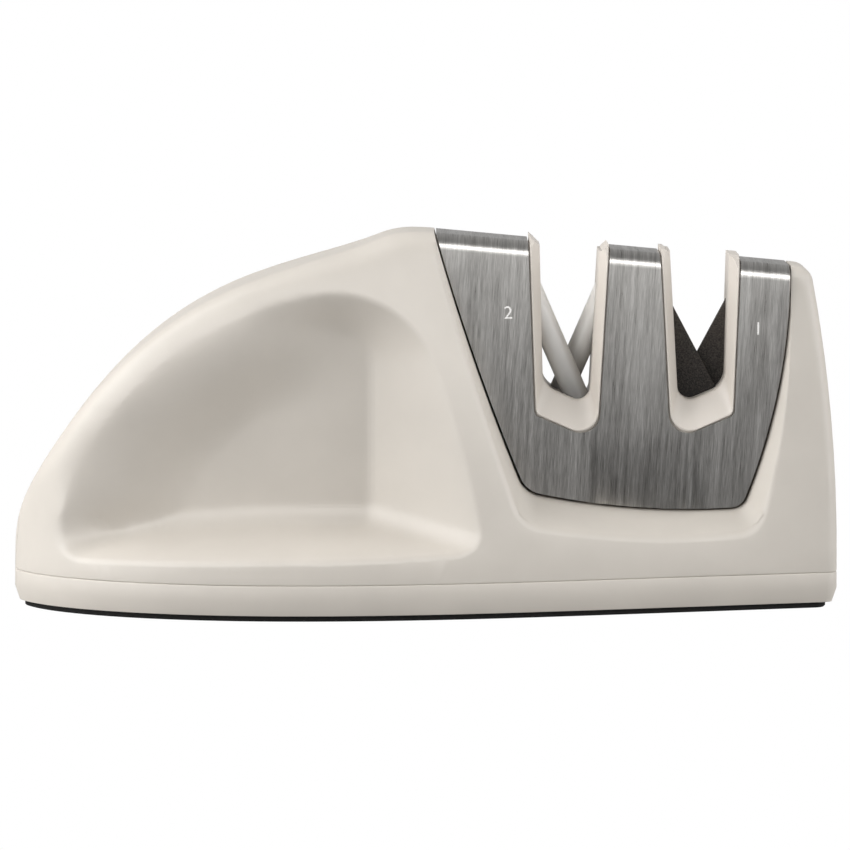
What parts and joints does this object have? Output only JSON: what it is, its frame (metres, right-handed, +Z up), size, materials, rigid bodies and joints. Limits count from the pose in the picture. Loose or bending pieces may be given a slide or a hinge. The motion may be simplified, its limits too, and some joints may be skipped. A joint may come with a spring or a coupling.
{
  "type": "manual knife sharpener",
  "caption": "Pull-through knife sharpener: domed grip with finger scoops, steel-capped head with a fine slot of crossed ceramic rods and a coarse slot of crossed tablets, on a rubber foot.",
  "frame": {"origin": "on the table, under the middle of the body's length and depth", "axes": "+X along the body from the domed grip to the blunt end of the head, -Y to the front, +Z up"},
  "size_m": [0.155, 0.0596, 0.0707],
  "materials": {
    "shell_plastic": "soft-touch matte, warm light grey",
    "cartridge_plastic": "matte moulded, warm light grey",
    "foot_rubber": "matte black",
    "saddle_steel": "brushed, grain upright",
    "rod_ceramic": "fine ground white",
    "tablet_carbide": "dark sintered grain",
    "screw_steel": "plain zinc"
  },
  "bodies": {
    "housing": {"body_shell": "shell_plastic", "base_tray": "shell_plastic", "rubber_foot": "foot_rubber", "base_screws": "screw_steel", "steel_saddle": "saddle_steel", "cartridge_front_half": "cartridge_plastic", "cartridge_rear_half": "cartridge_plastic", "cartridge_screws": "screw_steel", "cartridge_mount_screws": "screw_steel", "coarse_blade_front": "tablet_carbide", "coarse_blade_rear": "tablet_carbide"},
    "front_rod": {"fine_rod_front": "rod_ceramic"},
    "rear_rod": {"fine_rod_rear": "rod_ceramic"}
  },
  "joints": [
    {"name": "front_rod_turn", "type": "hinge", "parent": "housing", "child": "front_rod", "pos_m": [0.0271, -0.00242, 0.0428], "axis": [-0.3987, 0, 0.9171], "continuous": true},
    {"name": "rear_rod_turn", "type": "hinge", "parent": "housing", "child": "rear_rod", "pos_m": [0.0271, 0.00242, 0.0428], "axis": [0.3987, 0, 0.9171], "continuous": true}
  ]
}
